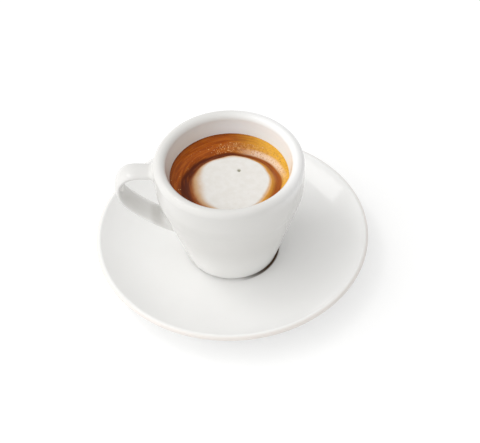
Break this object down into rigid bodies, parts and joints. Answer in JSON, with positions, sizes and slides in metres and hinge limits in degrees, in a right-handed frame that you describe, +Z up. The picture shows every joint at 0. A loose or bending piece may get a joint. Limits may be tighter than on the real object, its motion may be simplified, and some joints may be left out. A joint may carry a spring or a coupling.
{
  "type": "espresso macchiato",
  "caption": "Espresso macchiato with milk foam in a thick white porcelain cup with a handle, on its saucer.",
  "frame": {"origin": "on the axis of the saucer, on the surface that it stands on", "axes": "+Z up along the axis of cup and saucer, the cup's handle points to -X"},
  "size_m": [0.12, 0.12, 0.0594],
  "materials": {
    "saucer_porcelain": "glossy glaze",
    "cup_porcelain": "glossy glaze",
    "crema": "wet, softly glossy",
    "foam": "fine foam, almost matt"
  },
  "bodies": {
    "root": {"saucer": "saucer_porcelain", "cup": "cup_porcelain", "espresso": "crema", "milk_foam": "foam"}
  },
  "joints": []
}
